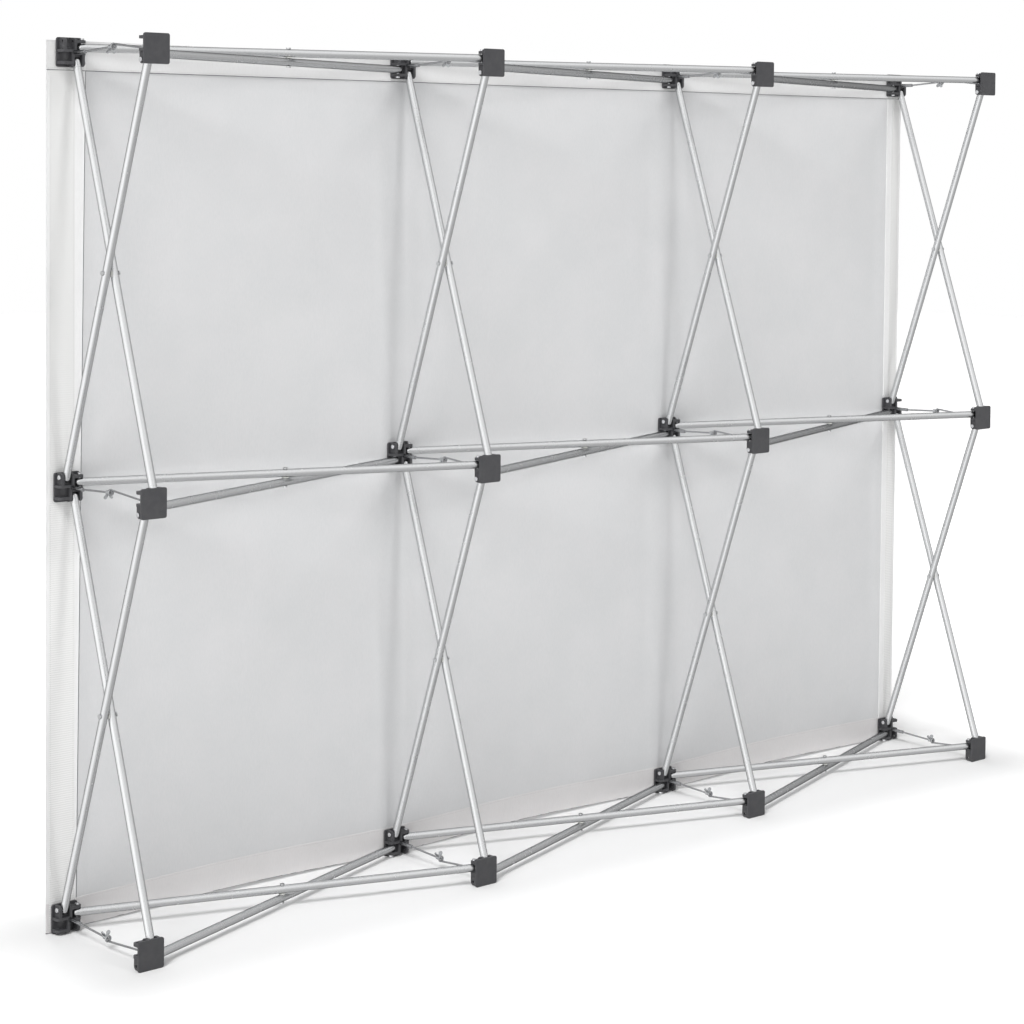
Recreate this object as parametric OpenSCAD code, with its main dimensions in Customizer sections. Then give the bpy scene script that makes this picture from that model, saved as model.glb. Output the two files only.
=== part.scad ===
// Free-standing banner wall: a folding lattice of scissor tubes joined by moulded hubs,
// held open by locking rods, with a stretched fabric graphic on its front.
// Millimetres. X runs along the wall, +Y points to the rear, +Z up.
// The origin is on the floor, at the centre of the wall's footprint.

/* [Lattice] */
// Number of hub columns along the wall
columns = 4; // [2:1:4]
// Number of hub rows, one above the other
rows = 3; // [2:1:3]
// Distance between the centres of neighbouring hubs, opened out
hub_pitch = 735; // [500:5:900]
// Depth over the plates of a front hub and the rear hub behind it, opened out
frame_depth = 262; // [200:1:320]

/* [Hub moulding] */
// Side of the square hub plate
plate_side = 50; // [49:0.5:60]
// Thickness of the hub plate
plate_t = 3.5; // [2.5:0.1:4]
// Radius of the hub plate's corners
plate_corner_r = 4; // [1:0.5:8]
// Height of a clevis pin above the hub plate's outer face
pin_y = 13.5; // [13.5:0.1:16]
// Distance of a clevis pin from the hub's centre
pin_reach = 18; // [17.5:0.1:18.5]
// Sideways offset of each clevis from the hub's centre, which makes the pinwheel
clevis_offset = 7.75; // [7.6:0.05:8.2]
// Width of the slot between a clevis's two ears
slot_w = 15.5; // [15.1:0.1:15.5]
// Thickness of the ear on the outside of the pinwheel
outer_ear_t = 5; // [3:0.1:5.5]
// Thickness of the ear next to the hub's centre
inner_ear_t = 4.5; // [4.2:0.1:5]
// Radius of an ear round its pin
ear_r = 6.5; // [5:0.1:6.8]
// Radius of the hollow that a tube's round end turns in
socket_r = 9.5; // [9.3:0.1:9.8]
// Radius of the hole in the middle of the hub that takes a locking rod's sleeve
boss_bore_r = 3.6; // [3.2:0.05:3.8]
// Depth of that hole
boss_bore_depth = 12; // [8:0.5:15]

/* [Pins and rivets] */
// Radius of a clevis pin
pin_r = 2.5; // [1.8:0.1:3]
// Radius of a clevis pin's head
pin_head_r = 4; // [3.5:0.1:5]
// Height of a clevis pin's head
pin_head_h = 3; // [1.5:0.1:3.5]
// Radius of the rivet where two tubes cross
rivet_r = 2; // [1.5:0.1:3]
// Radius of that rivet's heads
rivet_head_r = 4; // [3.2:0.1:5.5]
// Height of that rivet's heads
rivet_head_h = 2.4; // [1.2:0.1:4]
// Radius of the washer between two crossing tubes
washer_r = 6; // [4:0.1:7]
// Running clearance of a shaft in its hole, on the radius
running_gap = 0.1; // [0.05:0.01:0.1]
// Gap left where two pieces of one assembly seat on each other
seat_gap = 0.1; // [0.05:0.01:0.15]
// Gap between a tube and the rivet head or washer beside it
slide_gap = 0.2; // [0.1:0.05:0.3]

/* [Tubes] */
// Radius of a lattice tube
tube_r = 7; // [6:0.1:7.2]
// Wall thickness of a lattice tube
tube_wall = 1; // [0.8:0.1:1.5]
// How far a tube's round end reaches past its pin
end_reach = 9; // [8:0.1:9.1]
// Distance from a pin to where the tube's metal begins
tube_setback = 8.5; // [8:0.5:16]
// Length of the end plug inside the tube
plug_depth = 20; // [10:1:40]

/* [Locking rods] */
// Radius of a locking rod
rod_r = 1.7; // [1.2:0.1:1.8]
// Radius of the sleeve at the front end of a rod
sleeve_r = 3.5; // [3:0.1:3.7]
// How far that sleeve stands out of the front hub
sleeve_len = 33; // [10:1:40]
// How far the ferrule of a rear rod stands out of the rear hub
ferrule_len = 5; // [2:1:20]
// Height of the bottom row's wing nuts above the line between their hubs
rise_bottom = -4; // [-10:0.5:-1]
// Height of the middle row's wing nuts above the line between their hubs
rise_middle = 4; // [1:0.5:10]
// Height of the top row's wing nuts above the line between their hubs
rise_top = 6; // [1:0.5:10]
// Radius of the wing nut's body
nut_r = 3.6; // [2.6:0.1:4]
// Length of the wing nut's body
nut_len = 7; // [5:0.5:9]
// Distance from the rod's middle to the tip of a wing
wing_reach = 13; // [9:0.5:14]
// Width of a wing at its tip, along the rod
wing_w = 8; // [4:0.5:8]
// Thickness of a wing
wing_t = 2.2; // [1:0.1:2.5]
// Angle of each wing from the plane that halves the nut
wing_angle = 34; // [25:1:60]
// How far the wing nut reaches past the middle of the frame's depth
nut_past = 1; // [0:0.5:3]
// How much heavier the wire of the ring on a rear rod is than the rod, on the radius
eye_over = 0.2; // [0.1:0.1:0.4]
// Play of a front rod in that ring, on the radius
eye_play = 0.8; // [0.6:0.1:1.6]
// Gap between the wing nut and the ring
eye_gap = 2; // [1:0.5:4]
// How far a front rod's tip stands out behind the ring
tip_len = 3; // [1:0.5:4]

/* [Graphic] */
// Thickness of the hook pads on the front hubs
pad_t = 1.2; // [0.6:0.1:2]
// Side of a hook pad
pad_side = 38; // [20:1:46]
// Gap between the hook pads and the fabric
pad_gap = 0.3; // [0.2:0.05:0.5]
// Thickness of the fabric
fabric_t = 1; // [0.6:0.1:2]
// Extra thickness of the hems and the loop tape
hem_t = 0.8; // [0.2:0.1:2]
// Width of the loop tape at the two ends of the fabric
side_hem_w = 65; // [50:1:80]
// Width of the hem along the top and the bottom of the fabric
long_hem_w = 50; // [30:1:80]
// How far the fabric reaches past the centres of the end hubs
fabric_side = 44; // [27:1:48]
// How far the fabric reaches above the centres of the top hubs
fabric_top = 20; // [10:1:40]
// Height of the fabric's lowest edge above the floor
fabric_foot = 2; // [1:0.5:20]
// Rise of the fabric's lower edge halfway between two hubs
edge_rise = 5; // [0:0.5:12]
// Depth of the fabric's soft folds between the hub columns
fold_depth = 6; // [1:0.5:20]
// Facets of a fold across one bay
fold_facets = 10; // [4:1:12]
// Facets of the fabric's height in one bay
height_facets = 5; // [2:1:6]

/* [Hidden] */
$fn = 48;
plate_half = plate_side / 2;
// the hub's full depth, to the top of its ears
hub_depth = pin_y + ear_r;
slot_in = clevis_offset - slot_w / 2;
slot_out = clevis_offset + slot_w / 2;
clevis_w = inner_ear_t + slot_w + outer_ear_t;
boss_half = inner_ear_t - slot_in;
boss_floor = hub_depth - boss_bore_depth;
// how far a cut runs past the face where it comes out
past = 1;

// the pins' planes, front and rear, and the angle and length that the tubes get from them
graphic_reach = pad_t + pad_gap + fabric_t + hem_t + fold_depth;
y_front = (graphic_reach - frame_depth) / 2;
y_rear = y_front + frame_depth;
pin_run = hub_pitch - 2 * pin_reach;
pin_rise = frame_depth - 2 * pin_y;
open_angle = atan(pin_rise / pin_run);
pin_to_pin = sqrt(pow(pin_run, 2) + pow(pin_rise, 2));

// the parts of a locking rod, measured from the outer face of the front hub's plate
rod_root = 2;
bend_y = hub_depth + sleeve_len - rod_root;
rod_mid = frame_depth / 2;
nut_from = rod_mid + nut_past - nut_len;
eye_wire_r = rod_r + eye_over;
eye_r = rod_r + eye_play + eye_wire_r;
eye_at = rod_mid + nut_past + eye_gap + eye_wire_r;
rod_tip = eye_at + tip_len;
rod_rise = [rise_bottom, rise_middle, rise_top];

// width of the slope from the fabric's own thickness to a hem's
hem_step = 2;

// places of the hubs: column 0 is at the +X end of the wall, row 0 on the floor
function hub_x(c) = hub_pitch * ((columns - 1) / 2 - c);
function hub_z(r) = plate_half + hub_pitch * r;

// names of the sub-parts: columns and rows count from 1 in the names
function place(c, r) = str("_c", c + 1, "_r", r + 1);

// a cylinder along X, from x to x + len
module along_x(r, x, len) {
    translate([x, 0, 0]) rotate([0, 90, 0]) cylinder(r = r, h = len);
}

// a cylinder along Y, from y to y + len
module along_y(r, y, len) {
    translate([0, y, 0]) rotate([-90, 0, 0]) cylinder(r = r, h = len);
}

// a flat plate in the XZ plane with round corners, from y to y + t
module square_plate(side, corner, y, t) {
    translate([0, y + t, 0]) rotate([90, 0, 0]) linear_extrude(t) {
        square([side, side - 2 * corner], center = true);
        square([side - 2 * corner, side], center = true);
        for (x = [-1, 1], z = [-1, 1])
            translate([x * (side / 2 - corner), z * (side / 2 - corner)]) circle(corner);
    }
}

// an ear's outline in the YZ plane, round at its free corner, as a slab from x to x + t
module ear(x, t) {
    translate([x, 0, 0]) rotate([90, 0, 90]) linear_extrude(t) {
        square([pin_y, pin_reach + ear_r]);
        square([hub_depth, pin_reach]);
        translate([pin_y, pin_reach]) circle(ear_r);
    }
}

// one clevis for a tube that leaves along +Z: two ears, and the solid floor behind the tube's end
module clevis() {
    ear(slot_in - inner_ear_t, inner_ear_t);
    ear(slot_out, outer_ear_t);
    translate([slot_in - inner_ear_t / 2, 0, 0])
        cube([slot_w + (inner_ear_t + outer_ear_t) / 2, pin_y, pin_reach]);
}

// what is cut from the hub for one clevis: the round hollow and the pin's holes in both ears
module clevis_cuts() {
    translate([0, pin_y, pin_reach]) {
        along_x(socket_r, slot_in, slot_w);
        along_x(pin_r + running_gap, slot_in - inner_ear_t - past, clevis_w + 2 * past);
    }
}

// the four clevises stand round the hub like the blades of a pinwheel
module hub_moulding() {
    color("#3c3c40") difference() {
        union() {
            square_plate(plate_side, plate_corner_r, 0, plate_t);
            translate([-boss_half, 0, -boss_half]) cube([2 * boss_half, hub_depth, 2 * boss_half]);
            for (turn = [0:90:270]) rotate([0, turn, 0]) clevis();
        }
        for (turn = [0:90:270]) rotate([0, turn, 0]) clevis_cuts();
        along_y(boss_bore_r, boss_floor, boss_bore_depth + past);
    }
}

// headed pin of the clevis that leaves along +Z
module clevis_pin() {
    color("#d6d8da") translate([0, pin_y, pin_reach]) {
        along_x(pin_r, slot_in - inner_ear_t, clevis_w + pin_head_h);
        along_x(pin_head_r, slot_out + outer_ear_t + seat_gap, pin_head_h);
    }
}

// a hub with the pins of the clevises that hold a tube; used lists which of the four do
module hub_with_pins(used) {
    hub_moulding();
    for (k = [0:3]) if (used[k]) rotate([0, 90 * k, 0]) clevis_pin();
}

// front half of a locking rod: its sleeve in the hub, and the rod that tilts up by rise at the nut
module front_rod(rise) {
    color("#b9bbbd") {
        along_y(sleeve_r, boss_floor + seat_gap, hub_depth + sleeve_len - boss_floor - seat_gap);
        translate([0, bend_y, 0]) rotate([atan(rise / (rod_mid - bend_y)), 0, 0])
            along_y(rod_r, 0, rod_tip - bend_y);
    }
}

// the wing nut near the middle of the rod, its wings on the side away from the rise
module wing_nut(rise) {
    side = rise > 0 ? -1 : 1;
    color("#c9cbcd") translate([0, bend_y, 0]) rotate([atan(rise / (rod_mid - bend_y)), 0, 0])
        translate([0, nut_from - bend_y, 0]) difference() {
            union() {
                along_y(nut_r, 0, nut_len);
                for (lean = [-1, 1]) rotate([0, lean * wing_angle, 0]) wing(side);
            }
            along_y(rod_r + running_gap, -past, nut_len + 2 * past);
        }
}

// one wing, up or down from the nut's middle: a thin blade with a round tip
module wing(side) {
    tip = wing_reach - wing_w / 2;
    translate([-wing_t / 2, nut_len / 2, 0]) {
        translate([0, -nut_len / 3, side > 0 ? 0 : -tip]) cube([wing_t, 2 * nut_len / 3, tip]);
        translate([0, 0, side * tip]) along_x(wing_w / 2, 0, wing_t);
    }
}

// rear half of a locking rod, in the rear hub's own frame: ferrule, rod, and the eye round the front rod
module rear_rod(rise) {
    side = rise > 0 ? 1 : -1;
    start = hub_depth + ferrule_len - rod_root;
    eye_y = frame_depth - eye_at;
    lift = rise * (eye_at - bend_y) / (rod_mid - bend_y);
    run = eye_y - start;
    climb = lift + side * eye_r;
    color("#a9abad") {
        along_y(sleeve_r, boss_floor + seat_gap, hub_depth + ferrule_len - boss_floor - seat_gap);
        translate([0, start, 0]) rotate([atan(climb / run), 0, 0]) along_y(rod_r, 0, norm([run, climb]));
        translate([0, eye_y, lift]) rotate([90, 0, 0]) rotate_extrude()
            translate([eye_r, 0]) circle(eye_wire_r);
    }
}

// a hook pad on the face of a front hub
module hook_pad() {
    color("#e4e4e2") square_plate(pad_side, plate_corner_r, -pad_t, pad_t - seat_gap);
}

module front_hub(c, r) {
    translate([hub_x(c), y_front, hub_z(r)]) {
        hub_with_pins([r < rows - 1, c > 0, r > 0, c < columns - 1]);
        front_rod(rod_rise[r]);
        wing_nut(rod_rise[r]);
        hook_pad();
    }
}

module rear_hub(c, r) {
    translate([hub_x(c), y_rear, hub_z(r)]) rotate([0, 0, 180]) {
        hub_with_pins([r < rows - 1, c < columns - 1, r > 0, c > 0]);
        rear_rod(rod_rise[r]);
    }
}

// the plug in a tube's lower end, its pin hole at the origin and the tube above it
module end_plug() {
    dome_at = end_reach - tube_r;
    color("#cfd1d3") difference() {
        union() {
            translate([0, 0, -dome_at]) cylinder(r = tube_r, h = dome_at + tube_setback);
            translate([0, 0, -dome_at]) sphere(tube_r);
            cylinder(r = tube_r - tube_wall - running_gap, h = tube_setback + plug_depth);
        }
        along_x(pin_r + running_gap, -tube_r - past, 2 * (tube_r + past));
    }
}

// one lattice tube along +Z, from its lower pin at the origin to its upper pin
module lattice_tube() {
    tube_from = tube_setback + seat_gap;
    tube_len = pin_to_pin - 2 * tube_from;
    color("#c8cacc") difference() {
        translate([0, 0, tube_from]) cylinder(r = tube_r, h = tube_len);
        translate([0, 0, tube_from - past]) cylinder(r = tube_r - tube_wall, h = tube_len + 2 * past);
        translate([0, 0, pin_to_pin / 2])
            along_x(rivet_r + running_gap, -tube_r - past, 2 * (tube_r + past));
    }
    end_plug();
    translate([0, 0, pin_to_pin]) mirror([0, 0, 1]) end_plug();
}

// the rivet and washer that join a tube to its partner, which lies 2 * clevis_offset towards -X
module centre_rivet() {
    head_at = clevis_offset + tube_r + slide_gap;
    washer_t = 2 * (clevis_offset - tube_r - slide_gap);
    translate([-clevis_offset, 0, pin_to_pin / 2]) {
        color("#dcdee0") {
            along_x(rivet_r, -head_at, 2 * head_at);
            along_x(rivet_head_r, head_at, rivet_head_h);
            along_x(rivet_head_r, -head_at - rivet_head_h, rivet_head_h);
        }
        color("#f0f0ee") difference() {
            along_x(washer_r, -washer_t / 2, washer_t);
            along_x(rivet_r + running_gap, -washer_t, 2 * washer_t);
        }
    }
}

// upright tubes: the left one rises from front to rear, the right one from rear to front
module upright_left(c, r) {
    translate([hub_x(c) + clevis_offset, y_front + pin_y, hub_z(r) + pin_reach])
        rotate([-open_angle, 0, 0]) {
            lattice_tube();
            centre_rivet();
        }
}

module upright_right(c, r) {
    translate([hub_x(c) - clevis_offset, y_rear - pin_y, hub_z(r) + pin_reach])
        rotate([open_angle, 0, 0]) lattice_tube();
}

// rail tubes: the upper one runs from front to rear towards -X, the lower one from rear to front
module rail_upper(c, r) {
    translate([hub_x(c) - pin_reach, y_front + pin_y, hub_z(r) + clevis_offset])
        rotate([0, 0, -open_angle]) rotate([0, -90, 0]) {
            lattice_tube();
            centre_rivet();
        }
}

module rail_lower(c, r) {
    translate([hub_x(c) - pin_reach, y_rear - pin_y, hub_z(r) - clevis_offset])
        rotate([0, 0, open_angle]) rotate([0, -90, 0]) lattice_tube();
}

// the fabric's grid lines: its edges, the inner edges of its hems, and even steps in each bay
fabric_half = hub_x(0) + fabric_side;
fabric_top_z = hub_z(rows - 1) + fabric_top;
hem_x = fabric_half - side_hem_w;
grid_x = concat(
    [-fabric_half, -hub_x(0), -hem_x, -hem_x + hem_step],
    [for (k = [1:fold_facets * (columns - 1) - 1]) -hub_x(0) + k * hub_pitch / fold_facets],
    [hem_x - hem_step, hem_x, hub_x(0), fabric_half]);
grid_z = concat(
    [0, long_hem_w, long_hem_w + hem_step],
    [for (k = [1:height_facets * (rows - 1) - 1]) k * hub_pitch / height_facets + fabric_foot],
    [fabric_top_z - fabric_foot - long_hem_w - hem_step, fabric_top_z - fabric_foot - long_hem_w,
        fabric_top_z - fabric_foot]);

// how far along its bay a place lies, as a half wave: 0 at the hubs and 1 halfway between them
function half_wave(x) = pow(sin(180 * (x + hub_x(0)) / hub_pitch), 2);
function fold(x) = abs(x) > hub_x(0) ? 0 : fold_depth * half_wave(x);
function lower_edge(x) = abs(x) > hub_x(0) ? 0 : edge_rise * half_wave(x);
function in_hem(x, h) = abs(x) >= hem_x || h <= long_hem_w
    || h >= fabric_top_z - fabric_foot - long_hem_w;
function fabric_back(x) = y_front - pad_t - pad_gap - fold(x);
function fabric_front(x, h) = fabric_back(x) - fabric_t - (in_hem(x, h) ? hem_t : 0);
function fabric_z(x, h) = fabric_foot + h + lower_edge(x) * max(0, 1 - h / hub_pitch);

module fabric_graphic() {
    nx = len(grid_x);
    nz = len(grid_z);
    points = concat(
        [for (h = grid_z, x = grid_x) [x, fabric_back(x), fabric_z(x, h)]],
        [for (h = grid_z, x = grid_x) [x, fabric_front(x, h), fabric_z(x, h)]]);
    far = nx * nz;
    sides = concat(
        [for (j = [0:nz - 2], i = [0:nx - 2]) let (a = j * nx + i) each
            [[a, a + 1, a + nx], [a + 1, a + nx + 1, a + nx]]],
        [for (j = [0:nz - 2], i = [0:nx - 2]) let (a = far + j * nx + i) each
            [[a, a + nx, a + 1], [a + 1, a + nx, a + nx + 1]]]);
    rims = concat(
        [for (i = [0:nx - 2], j = [0, nz - 1]) let (a = j * nx + i, b = a + 1) each j == 0
            ? [[a, far + a, b], [b, far + a, far + b]]
            : [[a, b, far + a], [b, far + b, far + a]]],
        [for (j = [0:nz - 2], i = [0, nx - 1]) let (a = j * nx + i, b = a + nx) each i == 0
            ? [[a, b, far + a], [b, far + b, far + a]]
            : [[a, far + a, b], [b, far + a, far + b]]]);
    color("#e6e6e6") polyhedron(points, concat(sides, rims));
}

for (r = [0:rows - 1], c = [0:columns - 1]) {
    front_hub(c, r);
    rear_hub(c, r);
}
for (r = [0:rows - 1], c = [0:columns - 2]) {
    rail_upper(c, r);
    rail_lower(c, r);
}
for (r = [0:rows - 2], c = [0:columns - 1]) {
    upright_left(c, r);
    upright_right(c, r);
}
fabric_graphic();
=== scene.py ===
"""Banner wall seen from behind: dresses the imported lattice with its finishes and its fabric.

Metres. X runs along the wall, +Y points to the rear, +Z up, and the origin is on the floor.
"""

import functools
import math

import bmesh
import bpy
from mathutils import Matrix, Vector, noise


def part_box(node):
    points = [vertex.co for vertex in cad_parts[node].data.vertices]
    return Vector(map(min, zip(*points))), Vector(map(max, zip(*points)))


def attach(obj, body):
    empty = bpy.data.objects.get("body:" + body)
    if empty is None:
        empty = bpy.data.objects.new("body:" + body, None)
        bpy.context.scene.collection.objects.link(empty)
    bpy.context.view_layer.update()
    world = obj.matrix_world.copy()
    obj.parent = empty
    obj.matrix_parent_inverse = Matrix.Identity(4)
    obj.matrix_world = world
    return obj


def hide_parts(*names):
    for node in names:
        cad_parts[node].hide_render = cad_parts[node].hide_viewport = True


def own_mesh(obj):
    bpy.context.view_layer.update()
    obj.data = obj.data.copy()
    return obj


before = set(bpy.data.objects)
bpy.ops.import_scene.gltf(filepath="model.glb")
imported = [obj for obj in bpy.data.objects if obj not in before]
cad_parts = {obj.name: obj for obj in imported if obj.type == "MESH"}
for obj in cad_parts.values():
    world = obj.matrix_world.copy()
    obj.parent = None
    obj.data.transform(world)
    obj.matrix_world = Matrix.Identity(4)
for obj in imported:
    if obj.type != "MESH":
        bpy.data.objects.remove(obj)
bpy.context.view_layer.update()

# Sizes of the real wall, in metres
COLUMNS, ROWS = 4, 3
PITCH = 0.735
PLATE_HALF = 0.025
PAD_HALF = 0.019  # half the side of a hook pad
PAD_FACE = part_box("front_hub_c2_r2")[0].y  # outer face of the hook pads
TUBE_RISE, TUBE_RUN = 0.235, 0.699  # between a tube's two pins: across the wall, and along or up
CLOTH_TOP = 0.020  # how far the cloth reaches above the centres of the top hubs
CLOTH_FOOT = 0.002  # height of its lowest edge
CLOTH = 0.0005  # thickness of one layer of cloth
# The cloth hangs a little out of true. At each end, 1 for the left (+X) and -1 for the right: how
# far it reaches past the centres of the last hubs, and how far its band reaches inside them
END_OUT = {1: (0.034, 0.042), -1: (0.025, 0.030)}  # at the foot, at the top
END_IN = {1: (0.024, 0.035), -1: (0.019, 0.017)}
WELT = 0.0016  # radius of the cord in a band's inner edge
SHADOW_CORD_R = 0.0006  # radius of the dark cord on the -X side of that cord, which paints its shadow
HEM = 0.050  # width of the hems along the top and the bottom
TAPE = {1: 0.050, -1: 0.025}  # width of the loop tape on a band
TAPE_IN = 0.006  # distance from the cloth's end to the tape
TAPE_SHORT = 0.004  # how far the tape stops short of the foot and of the top
STITCH = 0.0036  # length of a stitch and the gap after it
HALF_STITCH = 0.34  # half the length of the stitch alone, as a share of that
THREAD_R = 0.0003
BILLOW = 0.0055  # how far the cloth may stand forward of the hubs
EDGE_RISE = 0.005  # how far the lower edge rises halfway between two hubs


def hub_x(column):
    """Place of a column of hubs; column 0 is at the +X end."""
    return PITCH * ((COLUMNS - 1) / 2 - column)


def hub_z(row):
    return PLATE_HALF + PITCH * row


TOP = hub_z(ROWS - 1) + CLOTH_TOP

# Materials
LOW, HIGH = 0.3, 0.7  # nearly all of a noise texture lies between these
WAVE = math.pi / 10  # a wave texture repeats every 2 pi / 20 of its scaled length


def linear(hex_colour):
    """An sRGB hex colour as linear RGBA."""
    parts = [int(hex_colour[i:i + 2], 16) / 255 for i in (1, 3, 5)]
    return tuple(p / 12.92 if p <= 0.04045 else ((p + 0.055) / 1.055) ** 2.4
                 for p in parts) + (1.0,)


def add(tree, kind, sockets=None, **settings):
    """Adds one node with its settings. A socket's value is a number, a colour or an output to link
    to it. Sockets 1 to 4 of a map range are the least and the most that come in and the least and
    the most that go out, and sockets 6 and 7 of a colour mix are its two colours."""
    node = tree.nodes.new(kind)
    for name, value in settings.items():
        setattr(node, name, value)
    for name, value in (sockets or {}).items():
        if isinstance(value, bpy.types.NodeSocket):
            tree.links.new(value, node.inputs[name])
        else:
            node.inputs[name].default_value = value
    return node


def start(name):
    """An empty material, its tree and its Object coordinates."""
    material = bpy.data.materials.new(name)
    material.use_nodes = True
    tree = material.node_tree
    tree.nodes.clear()
    return material, tree, add(tree, "ShaderNodeTexCoord").outputs["Object"]


def close(material, tree, shader):
    """Ends a material with its shader."""
    add(tree, "ShaderNodeOutputMaterial", {"Surface": shader.outputs[0]})
    return material


def drawn_aluminium(name, turn):
    """Aluminium tube drawn through a die and clear anodised: a satin metal with faint lines along
    the tube, which stretch its highlights round it. turn lays the pattern along the tube."""
    material, tree, coords = start(name)
    along = add(tree, "ShaderNodeMapping", {0: coords, "Rotation": turn}).outputs[0]
    drawn = add(tree, "ShaderNodeMapping", {0: along, "Scale": (1, 1, 0.02)}).outputs[0]
    # die lines are 0.2 mm apart on the real tube and 0.7 mm apart here, or they would not show
    lines = add(tree, "ShaderNodeTexNoise", {0: drawn, "Scale": 1400.0, "Detail": 2.0,
                                             "Roughness": 0.6}).outputs[0]
    # cloudy handling marks, 30 mm across
    cloud = add(tree, "ShaderNodeTexNoise", {0: coords, "Scale": 32.0, "Detail": 4.0,
                                             "Roughness": 0.62}).outputs[0]
    share = add(tree, "ShaderNodeMapRange", {0: lines, 1: LOW, 2: HIGH}).outputs[0]
    colour = add(tree, "ShaderNodeMix", {0: share, 6: linear("#DCDDDE"), 7: linear("#E8E9EA")},
                 data_type="RGBA").outputs[2]
    rough = add(tree, "ShaderNodeMapRange",
                {0: cloud, 1: LOW, 2: HIGH, 3: 0.25, 4: 0.28}).outputs[0]
    bump = add(tree, "ShaderNodeBump", {"Height": lines, "Strength": 0.04, "Distance": 0.00003})
    shader = add(tree, "ShaderNodeBsdfPrincipled", {
        "Base Color": colour, "Metallic": 1.0, "Roughness": rough, "Normal": bump.outputs[0],
        "Specular Tint": linear("#48494A")})  # the dark edge tint is painted shade at the tube's outline
    return close(material, tree, shader)


def moulded_nylon(name, dark, light):
    """Glass-filled nylon from a spark-eroded tool: a fine even grain that breaks up the light."""
    material, tree, coords = start(name)
    # spark grain, 0.5 mm across
    grain = add(tree, "ShaderNodeTexNoise", {0: coords, "Scale": 2000.0, "Detail": 3.0,
                                             "Roughness": 0.6}).outputs[0]
    # flow marks of the melt, 14 mm across
    flow = add(tree, "ShaderNodeTexNoise", {0: coords, "Scale": 70.0, "Detail": 3.0,
                                            "Distortion": 0.6}).outputs[0]
    share = add(tree, "ShaderNodeMapRange", {0: flow, 1: LOW, 2: HIGH}).outputs[0]
    colour = add(tree, "ShaderNodeMix", {0: share, 6: linear(dark), 7: linear(light)},
                 data_type="RGBA").outputs[2]
    rough = add(tree, "ShaderNodeMapRange",
                {0: grain, 1: LOW, 2: HIGH, 3: 0.42, 4: 0.58}).outputs[0]
    bump = add(tree, "ShaderNodeBump", {"Height": grain, "Strength": 0.35, "Distance": 0.00006})
    shader = add(tree, "ShaderNodeBsdfPrincipled", {
        "Base Color": colour, "Roughness": rough, "IOR": 1.53, "Normal": bump.outputs[0]})
    return close(material, tree, shader)


def zinc_plate(name, dark, light, outline, least, most):
    """Bright zinc plate on steel: a cloudy blue-white metal with small dull patches. dark and
    light are its two tones, outline the tint that paints shade along its edges, and least and most
    its roughness."""
    material, tree, coords = start(name)
    # patches of the plating bath, 6 mm across
    patch = add(tree, "ShaderNodeTexNoise", {0: coords, "Scale": 160.0, "Detail": 5.0,
                                             "Roughness": 0.65}).outputs[0]
    # barrel marks, 0.6 mm apart
    marks = add(tree, "ShaderNodeTexNoise", {0: coords, "Scale": 1600.0, "Detail": 2.0}).outputs[0]
    share = add(tree, "ShaderNodeMapRange", {0: patch, 1: LOW, 2: HIGH}).outputs[0]
    colour = add(tree, "ShaderNodeMix", {0: share, 6: linear(dark), 7: linear(light)},
                 data_type="RGBA").outputs[2]
    rough = add(tree, "ShaderNodeMapRange",
                {0: patch, 1: LOW, 2: HIGH, 3: least, 4: most}).outputs[0]
    bump = add(tree, "ShaderNodeBump", {"Height": marks, "Strength": 0.2, "Distance": 0.00004})
    shader = add(tree, "ShaderNodeBsdfPrincipled", {
        "Base Color": colour, "Metallic": 1.0, "Roughness": rough, "Normal": bump.outputs[0],
        "Specular Tint": linear(outline)})  # the dark edge tint is painted shade along the edges
    return close(material, tree, shader)


def hook_nylon():
    """Moulded nylon hook strip: milky, with a close field of hooks."""
    material, tree, coords = start("moulded_hook_nylon")
    # hooks 1.4 mm apart
    hooks = add(tree, "ShaderNodeTexVoronoi", {0: coords, "Scale": 700.0,
                                               "Randomness": 0.25}).outputs[0]
    share = add(tree, "ShaderNodeMapRange", {0: hooks, 1: 0.0, 2: 0.7}).outputs[0]
    colour = add(tree, "ShaderNodeMix", {0: share, 6: linear("#F0F0EE"), 7: linear("#CFCFCC")},
                 data_type="RGBA").outputs[2]
    bump = add(tree, "ShaderNodeBump", {"Height": hooks, "Strength": 0.8, "Distance": 0.0003},
               invert=True)
    shader = add(tree, "ShaderNodeBsdfPrincipled", {
        "Base Color": colour, "Roughness": 0.55, "IOR": 1.53, "Normal": bump.outputs[0]})
    return close(material, tree, shader)


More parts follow.
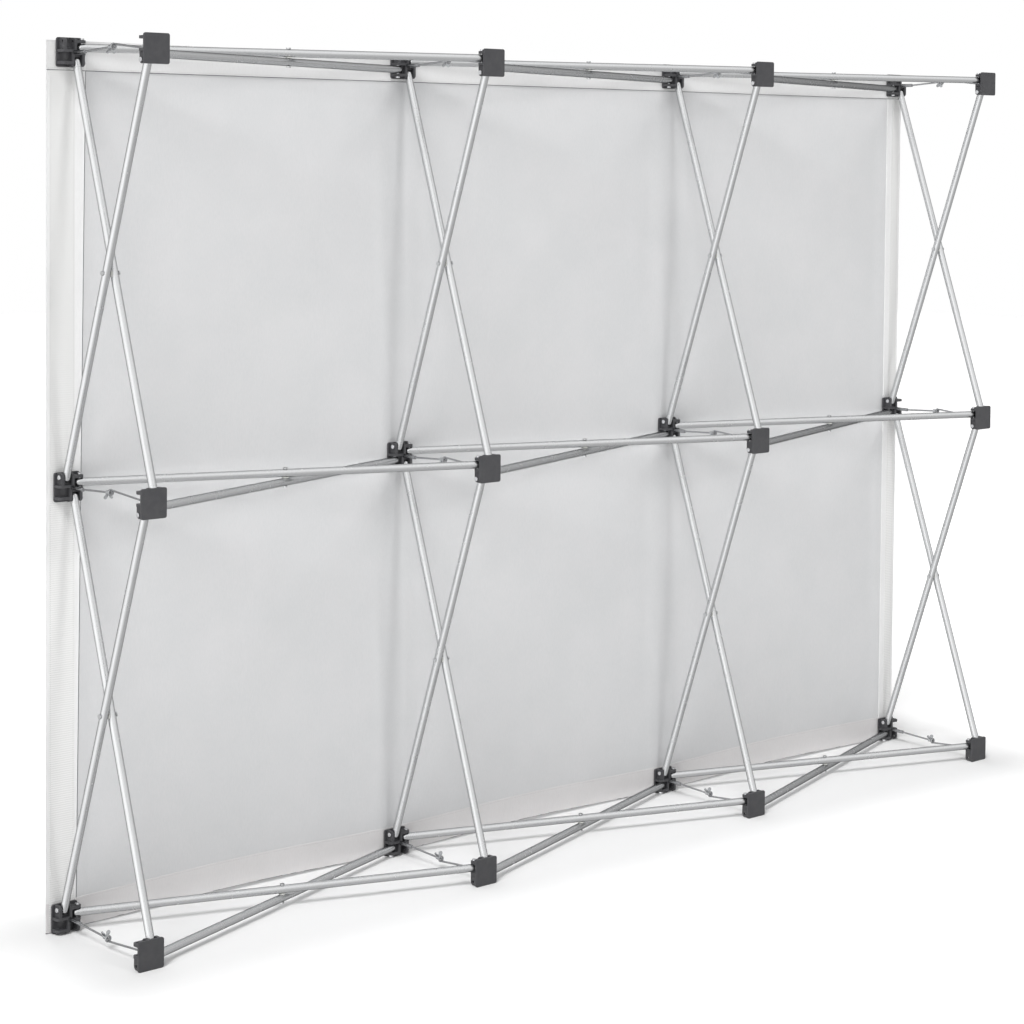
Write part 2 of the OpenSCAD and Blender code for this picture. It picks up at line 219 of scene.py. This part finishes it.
def knit_polyester(name, dark, light):
    """Warp-knit polyester display cloth: matt and even, with a soft upright tooth and slow changes
    of tone where the knit is tighter."""
    material, tree, coords = start(name)
    wale = add(tree, "ShaderNodeMapping", {0: coords, "Scale": (1, 1, 0.2)}).outputs[0]
    # wales are 0.6 mm apart on the real cloth and 1.6 mm apart here, or they would not show
    knit = add(tree, "ShaderNodeTexNoise", {0: wale, "Scale": 620.0, "Detail": 2.0,
                                            "Roughness": 0.55}).outputs[0]
    # tighter and slacker courses, 90 mm across
    tone = add(tree, "ShaderNodeTexNoise", {0: coords, "Scale": 11.0, "Detail": 3.0,
                                            "Roughness": 0.5}).outputs[0]
    both = add(tree, "ShaderNodeMath", {0: knit, 1: tone}, operation="ADD").outputs[0]
    share = add(tree, "ShaderNodeMapRange", {0: both, 1: 0.7, 2: 1.3}).outputs[0]
    colour = add(tree, "ShaderNodeMix", {0: share, 6: linear(dark), 7: linear(light)},
                 data_type="RGBA").outputs[2]
    bump = add(tree, "ShaderNodeBump", {"Height": knit, "Strength": 0.2, "Distance": 0.0001})
    shader = add(tree, "ShaderNodeBsdfPrincipled", {
        "Base Color": colour, "Roughness": 0.86, "IOR": 1.5, "Sheen Weight": 0.1,
        "Sheen Roughness": 0.5, "Normal": bump.outputs[0]})
    return close(material, tree, shader)


def brushed_loop_tape():
    """Brushed nylon loop tape: a bright napped face, with ribs across it in its lower half, where
    the nap is worn down to the weft."""
    material, tree, coords = start("brushed_loop_tape")
    # weft ribs 3.8 mm apart
    ribs = add(tree, "ShaderNodeTexWave", {0: coords, "Scale": WAVE / 0.0038, "Distortion": 1.2,
                                           "Detail": 2.0, "Detail Scale": 0.4},
               wave_type="BANDS", bands_direction="Z").outputs[1]
    # how far they show, by the height above the floor
    height = add(tree, "ShaderNodeSeparateXYZ", {0: coords}).outputs["Z"]
    worn = add(tree, "ShaderNodeMapRange", {0: height, 1: 0.5, 2: 1.0, 3: 0.8, 4: 0.1}).outputs[0]
    # the nap's tufts, 1 mm across
    nap = add(tree, "ShaderNodeTexNoise", {0: coords, "Scale": 1000.0, "Detail": 3.0,
                                           "Roughness": 0.7}).outputs[0]
    both = add(tree, "ShaderNodeMath", {0: ribs, 1: worn, 2: nap},
               operation="MULTIPLY_ADD").outputs[0]
    share = add(tree, "ShaderNodeMapRange", {0: both, 1: 0.3, 2: 1.3}).outputs[0]
    colour = add(tree, "ShaderNodeMix", {0: share, 6: linear("#DDDDDC"), 7: linear("#EFEFEE")},
                 data_type="RGBA").outputs[2]
    bump = add(tree, "ShaderNodeBump", {"Height": both, "Strength": 0.5, "Distance": 0.0003})
    shader = add(tree, "ShaderNodeBsdfPrincipled", {
        "Base Color": colour, "Roughness": 0.95, "IOR": 1.5, "Sheen Weight": 0.3,
        "Sheen Roughness": 0.6, "Normal": bump.outputs[0]})
    return close(material, tree, shader)


def spun_thread():
    """Spun polyester thread: small round stitches, twisted, a little shinier than the cloth."""
    material, tree, coords = start("spun_polyester_thread")
    # the ply's twist, 0.8 mm a turn
    twist = add(tree, "ShaderNodeTexWave", {0: coords, "Scale": WAVE / 0.0008, "Distortion": 0.5},
                wave_type="BANDS", bands_direction="DIAGONAL").outputs[1]
    colour = add(tree, "ShaderNodeMix", {0: twist, 6: linear("#BDBDBC"), 7: linear("#D6D6D4")},
                 data_type="RGBA").outputs[2]
    bump = add(tree, "ShaderNodeBump", {"Height": twist, "Strength": 0.4, "Distance": 0.0001})
    shader = add(tree, "ShaderNodeBsdfPrincipled", {
        "Base Color": colour, "Roughness": 0.6, "IOR": 1.5, "Normal": bump.outputs[0]})
    return close(material, tree, shader)


FOOTPRINT = (1.15, 0.14, 0)  # half the wall's length and depth
GLOW_REACH, PAPER_GLOW = 0.3, 0.42  # how far from the wall the glow is full, and its strength


def studio_paper():
    """Seamless studio paper: smooth, matt and nearly white. It glows more the farther it lies from
    the wall, so that it runs into the white background and keeps the wall's shadows."""
    material, tree, coords = start("seamless_paper")
    # slow waviness of the roll, 0.4 m across
    wave = add(tree, "ShaderNodeTexNoise", {0: coords, "Scale": 2.5, "Detail": 2.0}).outputs[0]
    colour = add(tree, "ShaderNodeMix", {0: wave, 6: linear("#F0F0F0"), 7: linear("#F4F4F4")},
                 data_type="RGBA").outputs[2]
    # distance from the footprint: what each coordinate exceeds its half size by, and 0 inside it
    point = add(tree, "ShaderNodeVectorMath", {0: coords}, operation="ABSOLUTE").outputs[0]
    point = add(tree, "ShaderNodeVectorMath", {0: point, 1: FOOTPRINT},
                operation="SUBTRACT").outputs[0]
    point = add(tree, "ShaderNodeVectorMath", {0: point, 1: (0, 0, 0)},
                operation="MAXIMUM").outputs[0]
    away = add(tree, "ShaderNodeVectorMath", {0: point}, operation="LENGTH").outputs["Value"]
    lit = add(tree, "ShaderNodeMapRange", {0: away, 1: 0.0, 2: GLOW_REACH, 3: 0.0, 4: PAPER_GLOW},
              interpolation_type="SMOOTHSTEP").outputs[0]
    shader = add(tree, "ShaderNodeBsdfPrincipled", {
        "Base Color": colour, "Roughness": 0.9, "IOR": 1.45, "Specular IOR Level": 0.2,
        "Emission Color": linear("#FFFFFF"), "Emission Strength": lit})
    return close(material, tree, shader)


LEAN = math.atan2(TUBE_RISE, TUBE_RUN)  # how far the opened tubes lean from the wall's plane
ALUMINIUM = {
    "upright_left": drawn_aluminium("drawn_aluminium_upright_left", (LEAN, 0, 0)),
    "upright_right": drawn_aluminium("drawn_aluminium_upright_right", (-LEAN, 0, 0)),
    "rail_upper": drawn_aluminium("drawn_aluminium_rail_upper", (0, math.radians(90), LEAN)),
    "rail_lower": drawn_aluminium("drawn_aluminium_rail_lower", (0, math.radians(90), -LEAN)),
}
HUB_NYLON = moulded_nylon("moulded_glass_nylon", "#404043", "#474749")
WASHER_NYLON = moulded_nylon("moulded_natural_nylon", "#DCDCD8", "#E6E6E2")
PIN_STEEL = zinc_plate("zinc_plated_pin", "#E6E7E9", "#F2F3F5", "#8A8A8C", 0.20, 0.30)
ROD_STEEL = zinc_plate("zinc_plated_rod", "#B4B5B7", "#C2C3C5", "#2A2A2B", 0.20, 0.26)
WING_STEEL = zinc_plate("zinc_plated_wing_nut", "#CED0D2", "#DCDEE0", "#1E1E1F", 0.18, 0.26)
HOOKS = hook_nylon()
CLOTH_KNIT = knit_polyester("knit_polyester_cloth", "#D3D4D5", "#D9D9DA")
HEM_KNIT = knit_polyester("knit_polyester_hem", "#DCDCDC", "#E2E2E2")
FOOT_KNIT = knit_polyester("knit_polyester_foot_hem", "#DCDADA", "#E2E0E0")
BAND_KNIT = knit_polyester("knit_polyester_band", "#E8E8E8", "#EEEEEE")
LOOP_TAPE = brushed_loop_tape()
# a dark knit for the cords that paint shade along edges
SHADE_LINE_KNIT = knit_polyester("knit_polyester_binding", "#6A6A6D", "#77777A")
THREAD = spun_thread()

# The rigid pieces: the CAD solids themselves, parted so that each has its own finish
MERGE = 2e-6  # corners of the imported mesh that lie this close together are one
FLAT = math.radians(0.5)  # faces that turn less than this from each other are joined


def solids_of(node):
    """The separate solids of a CAD node, each as a merged bmesh with its flat faces joined."""
    whole = bmesh.new()
    whole.from_mesh(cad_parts[node].data)
    bmesh.ops.remove_doubles(whole, verts=whole.verts, dist=MERGE)
    whole.verts.index_update()
    whole.verts.ensure_lookup_table()
    mark = [-1] * len(whole.verts)
    count = 0
    for vert in whole.verts:
        if mark[vert.index] >= 0:
            continue
        stack = [vert]
        mark[vert.index] = count
        while stack:
            for edge in stack.pop().link_edges:
                for other in edge.verts:
                    if mark[other.index] < 0:
                        mark[other.index] = count
                        stack.append(other)
        count += 1
    solids = []
    for k in range(count):
        solid = whole.copy()
        solid.verts.ensure_lookup_table()
        others = [v for v in solid.verts if mark[v.index] != k]
        bmesh.ops.delete(solid, geom=others, context="VERTS")
        bmesh.ops.dissolve_limit(solid, angle_limit=FLAT, verts=solid.verts[:],
                                 edges=solid.edges[:])
        solids.append(solid)
    whole.free()
    return solids


def extent(solid):
    """Lowest corner and size of a bmesh."""
    low = Vector([min(v.co[i] for v in solid.verts) for i in range(3)])
    high = Vector([max(v.co[i] for v in solid.verts) for i in range(3)])
    return low, high - low


def make(name, shape, material, body, smooth=30):
    """Makes a bmesh an object that rides on a body. Edges sharper than smooth, in degrees, stay
    sharp."""
    for face in shape.faces:
        face.smooth = True
    for edge in shape.edges:
        edge.smooth = len(edge.link_faces) == 2 and edge.calc_face_angle(0) < math.radians(smooth)
    mesh = bpy.data.meshes.new(name)
    shape.to_mesh(mesh)
    shape.free()
    mesh.materials.append(material)
    piece = bpy.data.objects.new(name, mesh)
    bpy.context.scene.collection.objects.link(piece)
    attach(piece, body)
    return piece


def round_edges(piece, width):
    """Rounds off the sharp edges of a piece."""
    bevel = piece.modifiers.new("round_edges", "BEVEL")
    bevel.width = width
    bevel.segments = 2
    bevel.limit_method = "ANGLE"
    bevel.angle_limit = math.radians(35)
    bevel.use_clamp_overlap = True
    bevel.harden_normals = True


# How the solids of a node are told apart, by their size and place
PAD_DEPTH = 0.003  # a hook pad is thinner than this in Y
MOULDING_SIDE = 0.045  # a moulding is wider and higher than this
ROD_LENGTH = 0.05  # each half of a locking rod is longer than this in Y
NUT_PLACE = 0.04  # the middle of a wing nut is nearer than this to the wall's middle plane
TUBE_LENGTH = 0.3  # a tube is longer than this
PLUG_LENGTH = 0.029  # an end plug is longer than this
RIVET_ACROSS = 0.011  # a rivet is narrower than this across its head
# Of each piece of a hub: its finish and how far its edges are rounded
HUB_PIECES = {
    "hook_pad": (HOOKS, 0),
    "moulding": (HUB_NYLON, 0.0005),
    "locking_rod": (ROD_STEEL, 0.0003),
    "wing_nut": (WING_STEEL, 0.0004),
    "clevis_pin": (PIN_STEEL, 0.0006),
}
RIVET_ROUNDING = 0.0009


def kind_in_hub(solid):
    """Which of the pieces of a hub a solid is."""
    low, size = extent(solid)
    if size.y < PAD_DEPTH:
        return "hook_pad"
    if size.x > MOULDING_SIDE and size.z > MOULDING_SIDE:
        return "moulding"
    if size.y > ROD_LENGTH:
        return "locking_rod"
    if abs(low.y + size.y / 2) < NUT_PLACE:
        return "wing_nut"
    return "clevis_pin"


def dress_hub(node):
    """Parts a hub's node into its moulding, pins, locking rod, wing nut and hook pad."""
    pins = 0
    for solid in solids_of(node):
        kind = kind_in_hub(solid)
        name = f"{node}_{kind}"
        if kind == "clevis_pin":
            pins += 1
            name += f"_{pins}"
        material, rounding = HUB_PIECES[kind]
        piece = make(name, solid, material, node)
        if rounding:
            round_edges(piece, rounding)
        if kind == "moulding":
            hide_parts(node)


def dress_tube(node, kind):
    """Parts a tube's node into the tube, its end plugs, its rivet and its washer."""
    plugs = 0
    for solid in solids_of(node):
        _, across, length = sorted(extent(solid)[1])
        if length > TUBE_LENGTH:
            piece = make(f"{node}_tube", solid, ALUMINIUM[kind], node, smooth=40)
            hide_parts(node)
        elif length > PLUG_LENGTH:
            plugs += 1
            make(f"{node}_end_plug_{plugs}", solid, ALUMINIUM[kind], node, smooth=50)
        elif across < RIVET_ACROSS:
            round_edges(make(f"{node}_rivet", solid, PIN_STEEL, node), RIVET_ROUNDING)
        else:
            make(f"{node}_washer", solid, WASHER_NYLON, node)


for name in sorted(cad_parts):
    kind = name.rsplit("_c", 1)[0]
    if kind in ("front_hub", "rear_hub"):
        dress_hub(name)
    elif kind in ALUMINIUM:
        dress_tube(name, kind)

# The fabric
COLUMN_HALF = 0.022  # the cloth lies flat this far to each side of a hub column
SLOPE = 0.04  # width of the slope beside that
DROP, END_DROP = 0.3, 0.5  # share of the belly that the slope takes: more beside the stiff bands
SLACK_FROM = 0.12  # the waves of the slack knit are full this far from a column
# Waves in the cloth: how often they change along the wall, their place in the noise, how often
# they change up the wall, and their height
SLOW_WAVES = (3.1, 4.7, 1.3, 0.0011)
FINE_WAVES = (14.0, 9.2, 5.0, 0.00022)
SEAM_WAVES = (60.0, 2.3, 9.0, 0.00018)
PAD_REACH = 0.03  # how far around a pad the cloth is drawn to it
BACK = PAD_FACE - 0.0003  # where the layers of cloth begin, in front of the pads
LAYERS = 0.0016  # how far in front of that the cloth lies, with its hems, bands and tapes behind
# The strips behind the cloth: how far in front of BACK each begins, and how thick it is
HEM_LAYER = (0.0002, 0.0012)
BAND_LAYER = (0.0004, 0.0009)
TAPE_LAYER = (0.0001, 0.0006)
# How far in front of BACK the cords and the stitches lie
WELT_LAYER, SHADOW_CORD_LAYER, SEAM_LAYER = 0.0014, 0.0012, 0.0001
HEM_SEAM = 0.003  # distance of a hem's stitches from the cloth's edge and from its ends
TAPE_SEAM = 0.0025  # distance of a tape's stitches from its edges
TAPE_SEAM_END = 0.008  # height where they begin, and how far below the top they end


def near_hub(x):
    """Distance along the wall to the nearest column of hubs."""
    return min(abs(x - hub_x(c)) for c in range(COLUMNS))


def ease(t):
    """A soft step from 0 to 1 while t goes from 0 to 1."""
    t = min(max(t, 0.0), 1.0)
    return t * t * (3 - 2 * t)


def waves(x, z, along, place, up, height):
    """How far one kind of waves moves the cloth at a point of it."""
    return noise.noise(Vector((x * along, place, z * up))) * height


def stand_off(x, z):
    """How far the cloth stands forward of the hubs: flat across each hub column, down a soft slope
    beside it, and then a shallow belly, with slow waves where the knit is slack."""
    if abs(x) > hub_x(0):
        return 0.0
    away = near_hub(x)
    drop = END_DROP if hub_x(0) - abs(x) < PITCH / 2 else DROP
    slope = ease((away - COLUMN_HALF) / SLOPE)
    belly = drop * slope + (1 - drop) * math.sin(math.pi * away / PITCH) ** 2
    slack = waves(x, z, *SLOW_WAVES) + waves(x, z, *FINE_WAVES)
    return belly * BILLOW + slack * ease(away / SLACK_FROM)


def lower_edge(x):
    """How far the lower edge rises between two hubs."""
    if abs(x) > hub_x(0):
        return 0.0
    return EDGE_RISE * math.sin(math.pi * near_hub(x) / PITCH) ** 2


def lifted(x, z):
    """Height of a point of the cloth: the lower edge rises between the hubs, and the rest less."""
    return z + lower_edge(x) * max(0.0, 1 - (z - CLOTH_FOOT) / PITCH)


def pad_pull(x, z):
    """1 where the pad of an inner hub holds the bare cloth, and 0 away from it."""
    aside = min(abs(x - hub_x(c)) for c in range(1, COLUMNS - 1))
    past = math.hypot(max(aside - PAD_HALF, 0), max(abs(z - hub_z(1)) - PAD_HALF, 0))
    return 1 - ease(past / PAD_REACH)


def on_cloth(x, z, layer):
    """A point of a layer that lies on the back of the cloth, layer in front of BACK."""
    return Vector((x, BACK - layer - stand_off(x, z), lifted(x, z)))


def along_height(foot_and_top, z):
    """A size at the height z, given at the cloth's foot and at its top."""
    foot, top = foot_and_top
    return foot + (top - foot) * (z - CLOTH_FOOT) / (TOP - CLOTH_FOOT)


def cloth_end(side, z, inwards=0.0):
    """Place of the cloth's end, or of a line that runs beside it."""
    return side * (hub_x(0) + along_height(END_OUT[side], z) - inwards)


def band_edge(side, z):
    """Place of the inner edge of a band."""
    return side * (hub_x(0) - along_height(END_IN[side], z))


def sew(name, shape, material, smooth=80):
    """Makes a bmesh a piece of the fabric, which rides on the hub that stays still."""
    return make(name, shape, material, "front_hub_c2_r2", smooth)


def thicken(piece, thickness, offset):
    """Gives a piece of cloth its thickness: to both sides if offset is 0, or to one if it is 1."""
    solidify = piece.modifiers.new("cloth", "SOLIDIFY")
    solidify.thickness = thickness
    solidify.offset = offset


def strip(name, x_low, x_high, z_low, z_high, grid, layer, material):
    """A flat strip of cloth between two heights and two places along the wall, bent to follow the
    wall's soft folds. The places are functions of the height, grid is the number of its faces
    along and up the wall, and layer tells where it begins and how thick it is."""
    begins, thickness = layer
    shape = bmesh.new()
    bmesh.ops.create_grid(shape, x_segments=grid[0], y_segments=grid[1], size=0.5)
    for vert in shape.verts:
        z = z_low + (vert.co.y + 0.5) * (z_high - z_low)
        low, high = x_low(z), x_high(z)
        x = low + (vert.co.x + 0.5) * (high - low)
        # small ripples where the seam draws the cloth together
        vert.co = on_cloth(x, z, begins + waves(x, z, *SEAM_WAVES))
    piece = sew(name, shape, material)
    thicken(piece, thickness, 1)
    return piece


def cord(name, points, radius, material):
    """A round cord sewn in along an edge."""
    shape = bmesh.new()
    bmesh.ops.create_circle(shape, segments=6, radius=radius)
    ring = shape.verts[:]
    first = (points[1] - points[0]).to_track_quat("Z", "Y").to_matrix().to_4x4()
    bmesh.ops.transform(shape, matrix=Matrix.Translation(points[0]) @ first, verts=ring)
    edges = shape.edges[:]
    bmesh.ops.contextual_create(shape, geom=edges)
    for here, there in zip(points, points[1:]):
        grown = bmesh.ops.extrude_edge_only(shape, edges=edges)["geom"]
        ring = [part for part in grown if isinstance(part, bmesh.types.BMVert)]
        edges = [part for part in grown if isinstance(part, bmesh.types.BMEdge)]
        bmesh.ops.translate(shape, vec=there - here, verts=ring)
    bmesh.ops.contextual_create(shape, geom=edges)
    bmesh.ops.recalc_face_normals(shape, faces=shape.faces)
    return sew(name, shape, material)


spindle_shape = bmesh.new()
bmesh.ops.create_uvsphere(spindle_shape, u_segments=5, v_segments=4, radius=1)
spindle = bpy.data.meshes.new("stitch")
spindle_shape.to_mesh(spindle)
spindle_shape.free()


def seam(name, points):
    """A row of stitches, each a small spindle of thread that lies on the cloth from a point to two
    thirds of the way to the next."""
    shape = bmesh.new()
    for here, there in zip(points, points[1:]):
        turn = (there - here).to_track_quat("Z", "Y").to_matrix().to_4x4()
        size = Matrix.Diagonal((THREAD_R, THREAD_R, (there - here).length * HALF_STITCH, 1))
        stitch = spindle.copy()
        stitch.transform(Matrix.Translation(here.lerp(there, HALF_STITCH)) @ turn @ size)
        shape.from_mesh(stitch)
        bpy.data.meshes.remove(stitch)
    return sew(name, shape, THREAD, smooth=60)


# The grid of the cloth is laid out in bays from the left hubs. Its columns are drawn together
# towards the hubs, where the cloth bends most, and its ends are then brought to the cloth's ends
GRID_PAST = 0.18  # how far it reaches past the left hubs at first, in bays
GRID_WIDTH = 1.12  # its width, as a multiple of the wall's three bays
GRID_DRAW = 0.13  # how far its columns are drawn together, in bays
GRID_OUT = 0.046  # how far it reaches past the last hubs after that, in metres
cloth_shape = bmesh.new()
bmesh.ops.create_grid(cloth_shape, x_segments=330, y_segments=130, size=0.5)
for vert in cloth_shape.verts:
    bays = (vert.co.x + 0.5) * (COLUMNS - 1) * GRID_WIDTH - GRID_PAST
    bay = math.floor(bays)
    share = bays - bay
    x = hub_x(0) - PITCH * (bay + share - GRID_DRAW * math.sin(2 * math.pi * share))
    z = CLOTH_FOOT + (vert.co.y + 0.5) * (TOP - CLOTH_FOOT)
    past = abs(x) - hub_x(0)
    if past > 0:
        side = 1 if x > 0 else -1
        x = side * (hub_x(0) + past * along_height(END_OUT[side], z) / GRID_OUT)
    vert.co = on_cloth(x, z, LAYERS * (1 - pad_pull(x, z)))
bmesh.ops.recalc_face_normals(cloth_shape, faces=cloth_shape.faces)
cloth = sew("fabric_cloth", cloth_shape, CLOTH_KNIT)
thicken(cloth, CLOTH, 0)

left_end, right_end = functools.partial(cloth_end, 1), functools.partial(cloth_end, -1)
trims = []
for name, low, high, knit in (("hem_bottom", CLOTH_FOOT, CLOTH_FOOT + HEM, FOOT_KNIT),
                              ("hem_top", TOP - HEM, TOP, HEM_KNIT)):
    trims.append(strip("fabric_" + name, right_end, left_end, low, high, (300, 6), HEM_LAYER,
                       knit))
    z = low + HEM_SEAM if low > hub_z(1) else high - HEM_SEAM
    count = int((left_end(z) - right_end(z) - 2 * HEM_SEAM) / STITCH)
    row = [left_end(z) - HEM_SEAM - k * STITCH for k in range(count + 1)]
    trims.append(seam("fabric_stitching_" + name, [on_cloth(x, z, SEAM_LAYER) for x in row]))
for name, side in (("end_left", 1), ("end_right", -1)):
    outer, inner = functools.partial(cloth_end, side), functools.partial(band_edge, side)
    trims.append(strip("fabric_band_" + name, *(inner, outer)[::side], CLOTH_FOOT, TOP, (12, 200),
                       BAND_LAYER, BAND_KNIT))
    heights = [CLOTH_FOOT + (TOP - CLOTH_FOOT) * k / 60 for k in range(61)]
    trims.append(cord("fabric_welt_" + name,
                      [on_cloth(inner(z), z, WELT_LAYER) for z in heights], WELT, BAND_KNIT))
    # a dark cord on the -X side of each welt paints the welt's shadow
    trims.append(cord("fabric_piping_" + name,
                      [on_cloth(inner(z) - WELT - SHADOW_CORD_R, z, SHADOW_CORD_LAYER) for z in heights],
                      SHADOW_CORD_R, SHADE_LINE_KNIT))
    tape_out = functools.partial(cloth_end, side, inwards=TAPE_IN)
    tape_in = functools.partial(cloth_end, side, inwards=TAPE_IN + TAPE[side])
    trims.append(strip("fabric_loop_tape_" + name, *(tape_in, tape_out)[::side],
                       CLOTH_FOOT + TAPE_SHORT, TOP - TAPE_SHORT, (8, 200), TAPE_LAYER, LOOP_TAPE))
    for edge, inwards in (("outer", TAPE_IN + TAPE_SEAM),
                          ("inner", TAPE_IN + TAPE[side] - TAPE_SEAM)):
        count = int((TOP - 2 * TAPE_SEAM_END) / STITCH)
        row = [TAPE_SEAM_END + k * STITCH for k in range(count + 1)]
        trims.append(seam(f"fabric_stitching_{name}_{edge}",
                          [on_cloth(cloth_end(side, z, inwards), z, SEAM_LAYER) for z in row]))
# dark cords that paint shade: under the lower edge, and under the top hem's edge
for name, z, layer, radius in (("painted_shade_foot", CLOTH_FOOT, 0.0010, 0.0009),
                               ("painted_shade_hem", TOP - HEM, 0.0004, 0.0007)):
    first, last = right_end(z), left_end(z)
    row = [first + (last - first) * k / 150 for k in range(151)]
    trims.append(cord("fabric_" + name, [on_cloth(x, z, layer) for x in row], radius, SHADE_LINE_KNIT))

for piece in [cloth] + trims:
    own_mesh(piece)
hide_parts("fabric_graphic")
left_end(TOP) - right_end(TOP)

# Studio
floor_shape = bmesh.new()
bmesh.ops.create_grid(floor_shape, x_segments=1, y_segments=1, size=14)
floor_mesh = bpy.data.meshes.new("studio_floor")
floor_shape.to_mesh(floor_mesh)
floor_shape.free()
floor_mesh.materials.append(studio_paper())
floor = bpy.data.objects.new("studio_floor", floor_mesh)
bpy.context.scene.collection.objects.link(floor)
# the undersides of the tubes stay as dark as in the photograph
floor.visible_glossy = False

MIDDLE = Vector((0, PAD_FACE, hub_z(1)))


def lamp(name, kind, place, power, **settings):
    """A studio lamp at a place, turned to the middle of the wall. The metal mirrors the world's
    glow instead, which puts the bands of light on the tubes where the photograph has them."""
    data = bpy.data.lights.new(name, kind)
    data.energy = power
    for key, value in settings.items():
        setattr(data, key, value)
    hung = bpy.data.objects.new(name, data)
    hung.location = place
    hung.rotation_euler = (Vector(place) - MIDDLE).to_track_quat("Z", "Y").to_euler()
    hung.visible_glossy = False
    bpy.context.scene.collection.objects.link(hung)


# from high up beyond the left end: the shadows of the bottom rails lie close beside them
lamp("key_light", "SUN", (2.8, 1.4, 4.6), 1.9, angle=math.radians(22))
# from behind the camera's right: the uprights' soft shadows fall along their own columns
lamp("rear_light", "AREA", (0.05, 4.7, 2.45), 47, size=1.1)
# a weak one beside the left end: the cloth is brightest there
lamp("side_light", "AREA", (2.9, 1.0, 2.0), 10, size=1.6)
# from the front, which the photograph doesn't show: without it that side would be dull grey
lamp("front_light", "AREA", (-0.6, -4.2, 2.3), 60, size=2.0)
# overhead, wide: soft shadows right under the tubes
lamp("top_light", "SUN", (0.3, 0.6, 6.0), 0.6, angle=math.radians(70))

AMBIENT = 0.12  # strength of the world for scattered light
GROUND = 0.5  # strength of the glow that the metal mirrors, the same on every side
# and the lobes added to it: their direction, their strength and how narrow they are
LOBES = (((0.98, 0.1, -0.05), 0.85, 2.0), ((-0.112, 0.633, 0.766), 0.5, 2.5))
world = bpy.data.worlds.new("studio")
bpy.context.scene.world = world
world.use_nodes = True
world.cycles.sampling_method = "NONE"  # its glow differs for mirrored and for scattered light
air = world.node_tree
air.nodes.clear()
direction = add(air, "ShaderNodeTexCoord").outputs["Generated"]
glow = GROUND
for aim, peak, power in LOBES:
    toward = add(air, "ShaderNodeVectorMath", {0: direction, 1: Vector(aim).normalized()},
                 operation="DOT_PRODUCT").outputs["Value"]
    lit = add(air, "ShaderNodeMath", {0: toward, 1: 0.0}, operation="MAXIMUM").outputs[0]
    lobe = add(air, "ShaderNodeMath", {0: lit, 1: power}, operation="POWER").outputs[0]
    glow = add(air, "ShaderNodeMath", {0: lobe, 1: peak, 2: glow},
               operation="MULTIPLY_ADD").outputs[0]
ray = add(air, "ShaderNodeLightPath")
mirrored = add(air, "ShaderNodeMix", {0: ray.outputs["Is Glossy Ray"], 2: AMBIENT, 3: glow},
               data_type="FLOAT").outputs[0]
strength = add(air, "ShaderNodeMix", {0: ray.outputs["Is Camera Ray"], 2: mirrored, 3: 1.0},
               data_type="FLOAT").outputs[0]
backdrop = add(air, "ShaderNodeBackground", {"Color": linear("#FFFFFF"), "Strength": strength})
add(air, "ShaderNodeOutputWorld", {"Surface": backdrop.outputs[0]})

# Camera, where the photograph was taken from
CAMERA_AT = (3.3731, 3.4253, 1.3262)
AZIMUTH, PITCH_UP, ROLL = math.radians(138.854), math.radians(1.448), math.radians(0.525)
SENSOR = 36  # width in millimetres
FOCAL, PHOTO_WIDTH = 2466, 1024  # in pixels of the photograph
back = Vector((math.sin(AZIMUTH) * math.cos(PITCH_UP), -math.cos(AZIMUTH) * math.cos(PITCH_UP),
               math.sin(PITCH_UP)))
right = (-back).cross(Vector((0, 0, 1))).normalized()
above = right.cross(-back)
across = math.cos(ROLL) * right + math.sin(ROLL) * above
upward = -math.sin(ROLL) * right + math.cos(ROLL) * above
camera = bpy.data.objects.new("camera", bpy.data.cameras.new("camera"))
camera.matrix_world = Matrix.Translation(CAMERA_AT) @ Matrix(
    (across, upward, back)).transposed().to_4x4()
camera.data.sensor_width = SENSOR
camera.data.lens = SENSOR * FOCAL / PHOTO_WIDTH
camera.data.shift_x = 0.072
camera.data.shift_y = -0.287
bpy.context.scene.collection.objects.link(camera)
bpy.context.scene.camera = camera
bpy.context.scene.view_settings.view_transform = "Standard"
